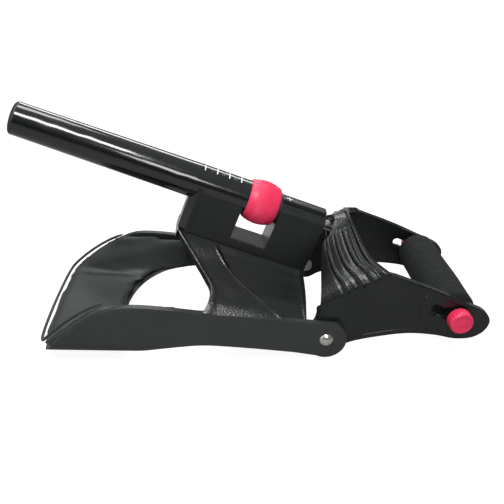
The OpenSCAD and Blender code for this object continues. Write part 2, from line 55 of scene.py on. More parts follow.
# Driving sizes, as in the CAD model
TILT = math.radians(21.4)
LIFT = 62.0
ARM_Y = 65.0
ARM_IN = 60.0
PLATE_OUT = 59.5
DROP = 19.0
SEAT = np.array([170.0, 0.0, DROP])   # wrist axis, seen from the frame's origin
OVAL_Z, OVAL_DEPTH = 2.5, 23.5
GRIP_X, GRIP_Z = 98.4, 13.2
KNOB_IN = PLATE_OUT + 2.4
RING_REAR, RING_FRONT = -84.0, -60.0
FLANGE_REAR, FLANGE_FRONT = -86.0, -34.0
LIGHT_AIM = (-0.05, 0, 0.05)          # middle of the part, in metres from the wrist axis
ALONG = np.array([math.cos(TILT), 0.0, -math.sin(TILT)])
UPRIGHT = np.array([math.sin(TILT), 0.0, math.cos(TILT)])


# ---------------------------------------------------------------- mesh helpers

def mesh_from(name, points, faces, smooth=True):
    """New object from points in millimetres."""
    mesh = bpy.data.meshes.new(name)
    mesh.from_pydata([tuple(p) for p in (np.asarray(points, float) + SEAT) * MM], [], faces)
    mesh.validate()
    mesh.update()
    obj = bpy.data.objects.new(name, mesh)
    bpy.context.scene.collection.objects.link(obj)
    if smooth:
        mesh.polygons.foreach_set("use_smooth", [True] * len(mesh.polygons))
    return obj


def apply_modifiers(obj):
    """Bakes the object's modifiers into its mesh."""
    depsgraph = bpy.context.evaluated_depsgraph_get()
    baked = bpy.data.meshes.new_from_object(obj.evaluated_get(depsgraph))
    obj.modifiers.clear()
    obj.data = baked


def fix_normals(obj):
    """Turns all face normals outwards."""
    bm = bmesh.new()
    bm.from_mesh(obj.data)
    bmesh.ops.recalc_face_normals(bm, faces=bm.faces)
    bm.to_mesh(obj.data)
    bm.free()


def soften(obj, width, segments=3, angle=35):
    """Rounds the sharp edges of a solid and shades it smooth."""
    bevel = obj.modifiers.new("soft_edges", "BEVEL")
    bevel.width = width * MM
    bevel.segments = segments
    bevel.limit_method = "ANGLE"
    bevel.angle_limit = math.radians(angle)
    bevel.harden_normals = False
    shade_smooth(obj)


def shade_smooth(obj):
    """Smooth shading that keeps large flat faces flat."""
    for poly in obj.data.polygons:
        poly.use_smooth = True
    node = obj.modifiers.new("even_shading", "WEIGHTED_NORMAL")
    node.keep_sharp = True


def curve_at(p, t):
    """Catmull-Rom point on rows p at t from 0 to len(p) - 1."""
    p = np.asarray(p, float)
    i = int(min(math.floor(t), len(p) - 2))
    f = t - i
    a, b, c, d = (p[max(0, min(len(p) - 1, k))] for k in (i - 1, i, i + 1, i + 2))
    return 0.5 * (2 * b + (c - a) * f + (2 * a - 5 * b + 4 * c - d) * f * f
                  + (3 * b - a - 3 * c + d) * f ** 3)


def curve(p, k):
    """Rows p with k steps between neighbours, on a smooth curve."""
    return np.array([curve_at(p, i / k) for i in range((len(p) - 1) * k + 1)])


def bump_curve(d, width):
    """Smooth ridge of height 1 over distance d."""
    return np.exp(-(d / width) ** 2)


def smooth_step(x, low, high):
    """Rises smoothly from 0 at low to 1 at high."""
    t = np.clip((x - low) / (high - low), 0, 1)
    return t * t * (3 - 2 * t)


def grid_normals(grid):
    """Unit normals of a grid of points, rows along axis 0."""
    du = np.gradient(grid, axis=0)
    dv = np.gradient(grid, axis=1)
    n = np.cross(du, dv)
    return n / np.maximum(np.linalg.norm(n, axis=2, keepdims=True), 1e-9)


def closed_shell(name, outer, inner):
    """Solid between two equal grids of points, closed at its four borders."""
    n, m = outer.shape[:2]
    points = np.concatenate([outer.reshape(-1, 3), inner.reshape(-1, 3)])
    base = n * m
    faces = []
    for i in range(n - 1):
        for j in range(m - 1):
            a, b, c, d = i * m + j, i * m + j + 1, (i + 1) * m + j + 1, (i + 1) * m + j
            faces.append((a, b, c, d))
            faces.append((base + d, base + c, base + b, base + a))
    rim = ([i * m for i in range(n)] + [(n - 1) * m + j for j in range(1, m)]
           + [i * m + m - 1 for i in range(n - 2, -1, -1)] + list(range(m - 2, 0, -1)))
    for k, a in enumerate(rim):
        b = rim[(k + 1) % len(rim)]
        faces.append((a, b, base + b, base + a))
    obj = mesh_from(name, points, faces)
    fix_normals(obj)
    return obj


def mirrored(half):
    """Full-width grid from its +Y half, whose first column lies on the middle."""
    other = half[:, :0:-1].copy()
    other[..., 1] *= -1
    return np.concatenate([other, half], axis=1)


def tube_point(u, y, n):
    """Point in the spring tube's frame: along the tube, sideways, square to it."""
    return u * ALONG + np.array([0.0, y, 0.0]) + (LIFT + n) * UPRIGHT


# ---------------------------------------------------------------- materials

class Look:
    """One procedural material; each method adds a layer to it."""

    def __init__(self, name, color, roughness, metallic=0.0):
        self.material = bpy.data.materials.new(name)
        self.material.use_nodes = True
        self.tree = self.material.node_tree
        self.shader = self.tree.nodes["Principled BSDF"]
        self.shader.inputs["Base Color"].default_value = (*color, 1)
        self.shader.inputs["Roughness"].default_value = roughness
        self.shader.inputs["Metallic"].default_value = metallic
        self.color = color
        self.roughness = roughness
        self.coords = self.tree.nodes.new("ShaderNodeTexCoord").outputs["Object"]
        self.normal = None

    def link(self, a, b):
        """Joins two sockets."""
        self.tree.links.new(a, b)

    def noise(self, scale, detail=4.0, rough=0.55, stretch=None):
        """Cloudy pattern, drawn out where stretch is given."""
        node = self.tree.nodes.new("ShaderNodeTexNoise")
        node.inputs["Scale"].default_value = scale
        node.inputs["Detail"].default_value = detail
        node.inputs["Roughness"].default_value = rough
        source = self.coords
        if stretch:
            mapping = self.tree.nodes.new("ShaderNodeMapping")
            mapping.inputs["Scale"].default_value = stretch
            self.link(self.coords, mapping.inputs["Vector"])
            source = mapping.outputs["Vector"]
        self.link(source, node.inputs["Vector"])
        return node.outputs["Fac"]

    def cells(self, scale, feature="F1"):
        """Distance pattern of rounded cells."""
        node = self.tree.nodes.new("ShaderNodeTexVoronoi")
        node.feature = feature
        node.inputs["Scale"].default_value = scale
        self.link(self.coords, node.inputs["Vector"])
        return node.outputs["Distance"]

    def ramp(self, value, stops):
        """Maps a value through grey stops (position, level)."""
        node = self.tree.nodes.new("ShaderNodeValToRGB")
        ramp = node.color_ramp
        while len(ramp.elements) < len(stops):
            ramp.elements.new(0.5)
        for element, (place, level) in zip(ramp.elements, stops):
            element.position = place
            element.color = (level, level, level, 1) if isinstance(level, float) else (*level, 1)
        self.link(value, node.inputs["Fac"])
        return node.outputs["Color"]

    def vary_roughness(self, value, low, high, spread=(0.3, 0.7)):
        """Lets a pattern drive the roughness from low to high."""
        self.link(self.ramp(value, [(spread[0], float(low)), (spread[1], float(high))]),
                  self.shader.inputs["Roughness"])
        return self

    def vary_color(self, value, dark, light, spread=(0.3, 0.7)):
        """Lets a pattern drive the colour from dark to light."""
        self.link(self.ramp(value, [(spread[0], dark), (spread[1], light)]),
                  self.shader.inputs["Base Color"])
        return self

    def bump(self, value, height, strength=1.0):
        """Adds relief; height is in millimetres."""
        node = self.tree.nodes.new("ShaderNodeBump")
        node.inputs["Strength"].default_value = strength
        node.inputs["Distance"].default_value = height * MM
        self.link(value, node.inputs["Height"])
        if self.normal is not None:
            self.link(self.normal, node.inputs["Normal"])
        self.normal = node.outputs["Normal"]
        self.link(self.normal, self.shader.inputs["Normal"])
        return self

    def coat(self, weight, roughness):
        """Adds a clear coat."""
        self.shader.inputs["Coat Weight"].default_value = weight
        self.shader.inputs["Coat Roughness"].default_value = roughness
        return self


def scaled(color, factor):
    """Lighter or darker version of a colour."""
    return tuple(min(1.0, c * factor) for c in color)


def moulded_plastic(name, color, low, high, grain=0.04, grain_scale=1400):
    """Moulded plastic: fine spark-erosion grain, handling marks and faint flow variation."""
    look = Look(name, color, (low + high) / 2)
    look.vary_color(look.noise(18, 3), scaled(color, 0.85), scaled(color, 1.25))
    look.vary_roughness(look.noise(60, 6, 0.65), low, high)
    look.bump(look.noise(grain_scale, 3), grain, 0.6)
    look.bump(look.noise(25, 5, 0.6), 0.12, 0.25)
    return look.material


def grained_plastic(name, color, low, high, cell=620, depth=0.16):
    """Glossy plastic with a moulded leather grain: rounded pebbles with narrow valleys."""
    look = Look(name, color, (low + high) / 2)
    look.vary_color(look.noise(22, 4), scaled(color, 0.8), scaled(color, 1.3))
    look.vary_roughness(look.noise(90, 5, 0.6), low, high)
    pebbles = look.ramp(look.cells(cell), [(0.0, 1.0), (0.55, 0.55), (0.95, 0.0)])
    look.bump(pebbles, depth, 0.75)
    look.bump(look.noise(1700, 2), 0.04, 0.4)
    return look.material


def leatherette(name, color):
    """Soft padded skin with fine grain and slightly shiny high spots."""
    look = Look(name, color, 0.5)
    look.vary_color(look.noise(14, 5, 0.6), scaled(color, 0.75), scaled(color, 1.45))
    look.vary_roughness(look.noise(120, 6, 0.7), 0.42, 0.62)
    grain = look.ramp(look.cells(900), [(0.0, 0.9), (0.6, 0.5), (1.0, 0.0)])
    look.bump(grain, 0.14, 0.7)
    look.bump(look.noise(300, 4), 0.1, 0.35)
    look.shader.inputs["Sheen Weight"].default_value = 0.08
    look.shader.inputs["Sheen Roughness"].default_value = 0.4
    return look.material


def foam(name, color):
    """Closed-cell foam rubber: matte skin with open pores."""
    look = Look(name, color, 0.9)
    look.vary_color(look.noise(400, 5, 0.7), scaled(color, 0.6), scaled(color, 1.7))
    look.vary_roughness(look.noise(150, 3), 0.8, 0.97)
    pores = look.ramp(look.cells(1100), [(0.0, 0.0), (0.25, 0.7), (0.6, 1.0)])
    look.bump(pores, 0.25, 0.7)
    look.bump(look.noise(120, 4), 0.3, 0.35)
    look.shader.inputs["Specular IOR Level"].default_value = 0.3
    return look.material


def lacquer(name, color):
    """Gloss black lacquer on metal, with orange peel and fine handling haze."""
    look = Look(name, color, 0.16)
    look.vary_roughness(look.noise(45, 7, 0.7), 0.10, 0.22)
    look.vary_color(look.noise(30, 3), scaled(color, 0.8), scaled(color, 1.3))
    look.bump(look.noise(220, 2), 0.012, 0.15)
    return look.coat(0.6, 0.06).material


def metal(name, color, low, high, streak=(40, 40, 900)):
    """Bare or plated metal with fine turning lines and slightly dulled patches."""
    look = Look(name, color, (low + high) / 2, metallic=1.0)
    look.vary_color(look.noise(50, 4), scaled(color, 0.85), scaled(color, 1.1))
    look.vary_roughness(look.noise(260, 5, 0.7), low, high)
    look.bump(look.noise(1.0, 3, 0.5, stretch=streak), 0.02, 0.5)
    return look.material


def pink_rubber(name, color, low=0.34, high=0.5):
    """Dyed soft-touch plastic, a little darker where it is handled."""
    look = Look(name, color, 0.42)
    look.vary_color(look.noise(35, 4), scaled(color, 0.86), scaled(color, 1.1))
    look.vary_roughness(look.noise(150, 5, 0.6), low, high)
    look.bump(look.noise(1200, 2), 0.03, 0.5)
    look.shader.inputs["Subsurface Weight"].default_value = 0.06
    look.shader.inputs["Subsurface Radius"].default_value = (0.004, 0.001, 0.001)
    return look.material


def worn_print(name, color):
    """White pad print: thin, with small gaps where it has rubbed off."""
    look = Look(name, color, 0.5)
    look.vary_color(look.noise(500, 4, 0.7), (0.35, 0.36, 0.36), color, spread=(0.28, 0.42))
    look.vary_roughness(look.noise(300, 3), 0.4, 0.6)
    look.bump(look.noise(900, 3), 0.02, 0.5)
    return look.material


BLACK = (0.006, 0.007, 0.007)
CRIMSON = (0.82, 0.032, 0.105)
materials = {
    "cradle_plastic": moulded_plastic("cradle_plastic", (0.024, 0.027, 0.026), 0.38, 0.5),
    "pad_leather": leatherette("pad_leather", (0.026, 0.029, 0.028)),
    "arch_plastic": grained_plastic("arch_plastic", BLACK, 0.22, 0.34),
    "recess_plastic": moulded_plastic("recess_plastic", BLACK, 0.2, 0.3, 0.05, 900),
    "block_plastic": moulded_plastic("block_plastic", BLACK, 0.28, 0.4),
    "yoke_plastic": grained_plastic("yoke_plastic", BLACK, 0.22, 0.33, 680, 0.12),
    "tube_black": lacquer("tube_black", (0.004, 0.0045, 0.0045)),
    "print_white": worn_print("print_white", (0.86, 0.88, 0.88)),
    "print_grey": worn_print("print_grey", (0.22, 0.23, 0.23)),
    "ring_pink": pink_rubber("ring_pink", CRIMSON),
    "knob_pink": pink_rubber("knob_pink", CRIMSON, 0.3, 0.45),
    "foam_grey": foam("foam_grey", (0.010, 0.011, 0.011)),
    "nickel": metal("nickel", (0.72, 0.70, 0.63), 0.18, 0.3),
    "steel": metal("steel", (0.56, 0.56, 0.56), 0.25, 0.4),
    "brass": metal("brass", (0.72, 0.52, 0.24), 0.25, 0.4),
    "cap_plastic": moulded_plastic("cap_plastic", (0.014, 0.014, 0.014), 0.4, 0.55),
}


def dress(obj, material):
    """Gives a new piece its material."""
    obj.data.materials.clear()
    obj.data.materials.append(materials[material])
    return obj


# ---------------------------------------------------------------- CAD nodes that stay

EDGE = {   # rounding of moulded and turned edges, in millimetres
    "cradle_shell": 1.1, "rear_saddle": 0.7, "front_housing": 0.8, "yoke_plates": 1.0,
    "pin_cheeks": 0.6, "tube_end_plug": 0.3, "knob_washers": 0.3, "hinge_washers": 0.15,
    "rod_guide_bush": 0.25, "ring_nut_insert": 0.2, "grip_end_caps": 0.6, "clamp_studs": 0.3,
    "pull_rod": 0.3, "rod_cross_pin": 0.2, "pad_studs": 0.3, "arch_screws": 0.3,
    "saddle_screws": 0.3, "rear_lock_nut": 0.3, "hinge_rivets": 0.2,
}


def dress_cad_nodes():
    """Rounds the edges of the CAD nodes and gives them the materials of their slots."""
    slots = {row["node"]: row["material_slot"] for row in frame["record"]["subparts"]}
    for name, obj in nodes.items():
        material = materials[slots[name]]
        obj.data.materials.clear()
        obj.data.materials.append(material)
        if name in EDGE:
            soften(obj, EDGE[name])
        else:
            shade_smooth(obj)


# ---------------------------------------------------------------- arch

def arm_top(x):
    """Height of an arm's upper edge, in millimetres over the wrist axis."""
    return 10.2 - 0.1715 * x


def roof_z(x):
    """Height of the arch's roof under the spring tube, in millimetres."""
    n = LIFT - 37.0
    u = (x - n * math.sin(TILT)) / math.cos(TILT)
    return n * math.cos(TILT) - u * math.sin(TILT)


# Distance from the middle, share of the height, rear edge, step line, front edge
ARCH_RULE = [
    (14, 1, -108, -80, -11.5), (20, 0.87, -103, -77, -11.5), (28, 0.67, -95.5, -71, -11.5),
    (38, 0.5, -88.5, -61, -12), (48, 0.37, -84, -49, -13), (58, 0.2, -86, -36, -14),
    (64.4, 0.015, -90.5, -27, -14)]


def arch_piece():
    """Arch as one moulding: grained rear ribbon, step line, and the smooth part in front of it."""
    rows = curve(ARCH_RULE, 12)
    rows = np.concatenate([np.linspace([0, 1, -108, -80, -11.5], rows[0], 8)[:-1], rows])
    rear = np.linspace(0, 1, 36)
    front = np.concatenate([[1.012, 1.03, 1.05], np.linspace(1.08, 2, 44)])
    stations = np.concatenate([rear, front])
    half = np.zeros((len(stations), len(rows), 3))
    sink = np.zeros(half.shape[:2])
    for i, t in enumerate(stations):
        for j, (y, share, x_rear, x_step, x_front) in enumerate(rows):
            x = x_rear + (x_step - x_rear) * t if t <= 1 else x_step + (x_front - x_step) * (t - 1)
            half[i, j] = (x, y, arm_top(x) + (roof_z(x) - arm_top(x)) * share)
            away = smooth_step(y, 14.5, 20) * (1 - smooth_step(y, 60, 64.2))
            rim = 0.5 * bump_curve(t * 24 - 1.3, 1.1) if t < 0.3 else 0
            lip = 0.45 * bump_curve((2 - t) * 30 - 1.4, 1.2) if t > 1.7 else 0
            edge = 0.35 * bump_curve((1 - t) * 24 - 0.8, 0.9) if 0.8 < t <= 1 else 0
            recess = 1.5 * smooth_step(t, 1.0, 1.03) * away
            sink[i, j] = rim + lip + edge * away - recess
    full = mirrored(half)
    lift = np.concatenate([sink[:, :0:-1], sink], axis=1)
    normals = grid_normals(full)
    if normals[0, full.shape[1] // 2, 2] < 0:
        normals = -normals
    outer = full + normals * lift[..., None]
    outer[..., 1] = np.clip(outer[..., 1], -ARM_Y + 0.1, ARM_Y - 0.1)
    depth = 7.0 - 2.4 * np.abs(full[..., 1:2]) / ARM_Y
    inner = full - normals * depth
    floor = arm_top(inner[..., 0])
    inner[..., 2] = np.maximum(inner[..., 2], floor * (np.abs(full[..., 1]) > 50))
    obj = closed_shell("arch", outer, inner)
    soften(obj, 0.7, 3, 50)
    apply_modifiers(obj)
    dress(obj, "arch_plastic")
    obj.data.materials.append(materials["recess_plastic"])
    split_arch_finish(obj)
    return obj


def split_arch_finish(obj):
    """The smooth finish goes on everything in front of the step line."""
    steps = np.array(ARCH_RULE)
    for poly in obj.data.polygons:
        x, y, _ = np.array(poly.center) / MM - SEAT
        step_x = np.interp(abs(y), steps[:, 0], steps[:, 3])
        poly.material_index = 1 if x > step_x + 0.3 else 0
        poly.use_smooth = True


def arch_flanges():
    """Flanges inside the arms that the arch is screwed through."""
    for side, name in ((-1, "arch_flange_near"), (1, "arch_flange_far")):
        outer, inner = [], []
        for x in np.linspace(FLANGE_REAR, FLANGE_FRONT, 40):
            top = arm_top(x) + 3
            end = min(1.0, (x - FLANGE_REAR) / 5, (FLANGE_FRONT - x) / 5)
            low = arm_top(x) - 5 - 6 * math.sqrt(max(0.0, 1 - (1 - end) ** 2))
            zs = np.linspace(top, low, 8)
            outer.append([(x, side * (ARM_IN - 0.1), z) for z in zs])
            inner.append([(x, side * (ARM_IN - 3.4), z) for z in zs])
        obj = closed_shell(name, np.array(outer, float), np.array(inner, float))
        soften(obj, 0.5, 2)
        apply_modifiers(obj)
        dress(obj, "cap_plastic")
        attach(obj, "cradle")


# ---------------------------------------------------------------- yoke

# Half rows of the hood and web: distance from the middle, rear X and Z, front X and Z
WEB_RULE = [
    (0, 13, 71, 24, 73.2), (6, 11.8, 69.9, 24, 72.9), (14.5, 8, 64, 24.6, 71.6),
    (17, 2.5, 57.5, 25.2, 70.4), (21, 1, 52.5, 26.2, 68.6), (27, -0.6, 47.5, 27.5, 66),
    (36, -1.8, 43, 29.5, 62), (46, -3, 39.2, 32.6, 58.2), (54, -4, 34.5, 39, 54.9),
    (59.2, -5, 27, 44.5, 51.8), (59.75, -6.6, 19, 48, 46),
    (59.75, -7.2, 13, 50, 36), (59.75, -5, 6, 50, 22)]
# Ribs as (row, t) at both ends
RIBS = [((3.0, 0.12), (10.5, 0.45)), ((2.8, 0.36), (11.5, 0.68)), ((2.6, 0.60), (10.1, 0.78))]


def web_piece():
    """Hood and ribbed webs as one smooth skin that runs out on the side plates."""
    row_at = np.linspace(0, len(WEB_RULE) - 1, 131)
    t_at = np.linspace(0, 1, 84)
    rows = np.array([curve_at(WEB_RULE, r) for r in row_at])
    half = np.zeros((len(t_at), len(rows), 3))
    height = np.zeros(half.shape[:2])
    for i, t in enumerate(t_at):
        rise = 1.8 * math.sin(math.pi * t)
        for j, (y, x0, z0, x1, z1) in enumerate(rows):
            r = row_at[j]
            crest = rise * smooth_step(r, 1.5, 4) * (1 - smooth_step(r, 8, 10))
            inside = smooth_step(t, 0.02, 0.14) * (1 - smooth_step(t, 0.86, 0.98))
            inside *= 1 - smooth_step(r, 11.2, 12)
            y = min(y, PLATE_OUT + 0.3) - 0.9 * smooth_step(r, 9.3, 10) * (1 - inside)
            half[i, j] = (x0 + (x1 - x0) * t, y, z0 + (z1 - z0) * t + crest)
            bead = 1.1 * bump_curve((1 - t) * 26 - 1.7, 1.2) - 0.5 * bump_curve((1 - t) * 26 - 3.6, 0.9)
            bead += 0.45 * bump_curve((1 - t) * 26 - 5.0, 0.9)
            bead *= 1 - smooth_step(r, 9, 9.8)
            height[i, j] = rib_height(r, t) + bead
    full = mirrored(half)
    lift = np.concatenate([height[:, :0:-1], height], axis=1)
    normals = grid_normals(full)
    if normals[40, full.shape[1] // 2, 2] < 0:
        normals = -normals
    outer = full + normals * lift[..., None]
    away = smooth_step(np.hypot(outer[..., 0], outer[..., 2]), 17, 21)
    side = PLATE_OUT + 0.35 + 0.9 * away
    outer[..., 1] = np.clip(outer[..., 1], -side, side)
    reach = np.abs(full[..., 1:2])
    depth = 2.4 + 2.2 * smooth_step(reach, 8, 24)
    inner = full - normals * depth
    inner[..., 1] = np.clip(inner[..., 1], -PLATE_OUT + 0.4, PLATE_OUT - 0.4)
    obj = closed_shell("yoke_web", outer, inner)
    soften(obj, 0.6, 3, 50)
    apply_modifiers(obj)
    return dress(obj, "yoke_plastic")


def rib_height(r, t):
    """Height of the ribs over the web at row r and station t, in millimetres."""
    total = 0.0
    for (r0, t0), (r1, t1) in RIBS:
        share = (r - r0) / (r1 - r0)
        if -0.1 < share < 1.1:
            line = t0 + (t1 - t0) * share
            ends = smooth_step(share, -0.05, 0.12) * (1 - smooth_step(share, 0.8, 1.02))
            total += 1.1 * ends * bump_curve(t - line, 0.020)
            total -= 0.3 * ends * bump_curve(t - line + 0.042, 0.026)
    return total


YOKE_TOP = [(43, 49.6), (50, 46.9), (60, 42.8), (72, 37.8), (85, 31.8), (97, 25.8), (108, 20.4), (115, 16.6)]
YOKE_LOW = [(22, -1.4), (46, 2.6), (64, 3.6), (83, 1.5), (92, -0.6)]
STOP_ARC = [(74, 32), (71.2, 29.5), (69, 24.5), (68.8, 19.5), (70.6, 15), (73.6, 11.6)]


def plate_bead(name, line, side, width, height):
    """Raised bead along a line on the outer face of a side plate."""
    path = curve(line, 10)
    rings = []
    for k, (x, z) in enumerate(path):
        ahead = path[min(k + 1, len(path) - 1)] - path[max(k - 1, 0)]
        ahead = ahead / np.linalg.norm(ahead)
        across = np.array([-ahead[1], ahead[0]])
        fade = min(1.0, k / 6, (len(path) - 1 - k) / 8)
        ring = []
        for a in np.linspace(0, math.pi, 9):
            w = width * math.cos(a)
            out = height * math.sin(a) * fade
            ring.append((x + across[0] * w, side * (PLATE_OUT - 0.15 + out), z + across[1] * w))
        rings.append(ring)
    outer = np.array(rings, float)
    inner = outer.copy()
    inner[..., 1] = side * (PLATE_OUT - 0.5)
    obj = closed_shell(name, outer, inner)
    dress(obj, "yoke_plastic")
    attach(obj, "yoke")


def yoke_beads():
    """Edge beads and the raised stop behind each slot."""
    for side, end in ((-1, "near"), (1, "far")):
        plate_bead("yoke_top_bead_" + end, YOKE_TOP, side, 1.9, 1.0)
        plate_bead("yoke_low_bead_" + end, YOKE_LOW, side, 0.7, 0.55)
        plate_bead("slot_stop_" + end, STOP_ARC, side, 0.75, 0.75)


# ---------------------------------------------------------------- pad

PAD_TOP = [(-223, -21), (-214.5, -8), (-203, 6.5), (-184, 21.5), (-164, 31.8), (-148, 33.4), (-125, 29.5),
           (-101, 25)]
PAD_FRONT = [(-101, 2.6), (-119, 0.9), (-133, -2.6), (-147, -7.3), (-154, -10.8), (-158, -19)]
PAD_THICK = 7.0
PAD_HIGH = 33.0
PITCH = math.radians(3.4)        # the trough rises towards its rear end, turned about this X
PITCH_X = -150.0


def pad_section(inset, count):
    """Points across the trough from the near side over the floor to the far side."""
    half, depth = ARM_Y - inset, OVAL_DEPTH - inset
    angle = np.linspace(math.pi, 2 * math.pi, 400)
    y = np.concatenate([[-half], half * np.cos(angle), [half]])
    z = np.concatenate([[PAD_HIGH], OVAL_Z + depth * np.sin(angle), [PAD_HIGH]])
    run = np.concatenate([[0], np.cumsum(np.hypot(np.diff(y), np.diff(z)))])
    even = np.linspace(0, run[-1], count)
    return np.column_stack([np.interp(even, run, y), np.interp(even, run, z)])


def pad_limit(z, line):
    """Where the trough line at height z meets an edge outline, as X and Z after the pitch."""
    sine, cosine = math.sin(PITCH), math.cos(PITCH)
    level = z
    for _ in range(6):
        x = float(np.interp(min(max(level, -19.0), PAD_HIGH), line[:, 1], line[:, 0]))
        level = z * cosine - (x - PITCH_X - z * sine) / cosine * sine
    return np.array([x, level])


def pad_piece():
    """Forearm pad: a thick lined sheet, blown up by a short cloth simulation."""
    top = curve(PAD_TOP, 8)
    front = curve(PAD_FRONT, 8)[::-1]
    across = 121
    outside = pad_section(5.4, across)
    inside = pad_section(5.0 + PAD_THICK - 0.6, across)
    rise = top[: int(np.argmax(top[:, 1])) + 1]
    fall = top[int(np.argmax(top[:, 1])):][::-1]
    along = 60
    outer = np.zeros((along, across, 3))
    inner = np.zeros((along, across, 3))
    for j in range(across):
        for grid, (y, z), inset in ((outer, outside[j], 0.0), (inner, inside[j], 1.2)):
            rear_end = pad_limit(z, rise) + (inset, 0)
            front_end = pad_limit(z, fall if z > 25.2 else front) - (inset, 0)
            front_end[0] = max(front_end[0], rear_end[0] + 2)
            for i in range(along):
                x, height = rear_end + (front_end - rear_end) * i / (along - 1)
                grid[i, j] = (x, y, height)
    edge_i = np.minimum(np.arange(along), np.arange(along)[::-1])[:, None] / 5.0
    edge_j = np.minimum(np.arange(across), np.arange(across)[::-1])[None, :] / 5.0
    round_off = np.sqrt(np.clip(1 - (1 - np.clip(np.minimum(edge_i, edge_j), 0, 1)) ** 2, 0, 1))
    mid = outer + (inner - outer) * 0.42
    inner = mid + (inner - mid) * round_off[..., None]
    outer = mid + (outer - mid) * round_off[..., None]
    obj = closed_shell("pad_cover", outer, inner)
    inflate(obj)
    refine = obj.modifiers.new("refine", "SUBSURF")
    refine.levels = refine.render_levels = 1
    apply_modifiers(obj)
    for poly in obj.data.polygons:
        poly.use_smooth = True
    dress(obj, "pad_leather")
    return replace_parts(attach(obj, "cradle"), "forearm_pad")


def inflate(obj, voxel=3.5, pressure=4.0, cap=1.6, frames=20):
    """Swells a closed mesh with cloth pressure, keeping every point within cap millimetres."""
    remesh = obj.modifiers.new("even", "REMESH")
    remesh.mode = "VOXEL"
    remesh.voxel_size = voxel * MM
    apply_modifiers(obj)
    start = np.array([v.co for v in obj.data.vertices], float)
    cloth = obj.modifiers.new("cloth", "CLOTH")
    cloth.settings.use_pressure = True
    cloth.settings.uniform_pressure_force = pressure
    cloth.settings.effector_weights.gravity = 0
    cloth.settings.quality = 6
    cloth.settings.tension_stiffness = 20
    cloth.settings.compression_stiffness = 20
    scene = bpy.context.scene
    for k in range(1, frames + 1):
        scene.frame_set(k)
    apply_modifiers(obj)
    scene.frame_set(1)
    moved = np.array([v.co for v in obj.data.vertices], float)
    step = moved - start
    size = np.linalg.norm(step, axis=1, keepdims=True)
    step *= np.minimum(1, cap * MM / np.maximum(size, 1e-9))
    obj.data.vertices.foreach_set("co", (start + step).ravel())
    obj.data.update()


def pad_piping():
    """Welt that runs along the pad's rear and top edge on both sides and across the floor."""
    section = pad_section(5.0 + PAD_THICK * 0.45, 161)
    top = curve(PAD_TOP, 8)
    rise = top[: int(np.argmax(top[:, 1])) + 1]
    path = []
    for y, z in section:
        x, height = pad_limit(z, rise)
        path.append((x - 0.2, y, height))
    return sweep("pad_piping", np.array(path), 1.15)


def sweep(name, path, radius, sides=12):
    """Round cord along a path, with rounded ends."""
    tangent = np.gradient(path, axis=0)
    tangent /= np.linalg.norm(tangent, axis=1, keepdims=True)
    up = np.array([1.0, 0.0, 0.0])
    rings = []
    for k, p in enumerate(path):
        side = np.cross(tangent[k], up)
        side /= max(np.linalg.norm(side), 1e-9)
        other = np.cross(side, tangent[k])
        near_end = min(k, len(path) - 1 - k)
        r = radius * min(1.0, math.sqrt((near_end + 0.15) / 2.5))
        rings.append([p + r * (math.cos(a) * side + math.sin(a) * other)
                      for a in np.linspace(0, 2 * math.pi, sides, endpoint=False)])
    points = np.array(rings).reshape(-1, 3)
    faces = []
    for k in range(len(path) - 1):
        for s in range(sides):
            q = (s + 1) % sides
            faces.append((k * sides + s, k * sides + q, (k + 1) * sides + q, (k + 1) * sides + s))
    faces.append(tuple(range(sides)))
    faces.append(tuple(range(len(points) - sides, len(points))))
    obj = mesh_from(name, points, faces)
    fix_normals(obj)
    return obj


# ---------------------------------------------------------------- ring, grip, knobs, scale

def ring_piece():
    """Adjusting ring: barrel with smooth rims and a band of fine ribs round its middle."""
    length = RING_FRONT - RING_REAR
    around, rows = 720, 48
    ribs = 120
    outer = []
    for k in range(rows + 1):
        d = -length / 2 + length * k / rows
        belly = 14.2 + 2.8 * (1 - (2 * d / length) ** 2)
        rim = smooth_step(abs(d), length / 2 - 0.9, length / 2)
        outer.append((d, belly - 0.7 * rim ** 2))
    profile = np.array([(-length / 2, 13.62)] + outer + [(length / 2, 12.05)])
    points = []
    for k in range(around):
        a = 2 * math.pi * k / around
        wave = 0.5 - 0.5 * math.cos(ribs * a)
        for d, r in profile:
            band = 1 - smooth_step(abs(d), 5.2, 7.0)
            rr = r - 0.32 * wave * band * (r > 13.7)
            points.append(tube_point((RING_REAR + RING_FRONT) / 2 + d, rr * math.cos(a), rr * math.sin(a)))
    n = len(profile)
    faces = []
    for k in range(around):
        q = (k + 1) % around
        for i in range(n):
            j = (i + 1) % n
            faces.append((k * n + i, k * n + j, q * n + j, q * n + i))
    obj = mesh_from("ring_barrel", points, faces)
    fix_normals(obj)
    dress(obj, "ring_pink")
    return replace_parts(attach(obj, "ring"), "adjust_ring")


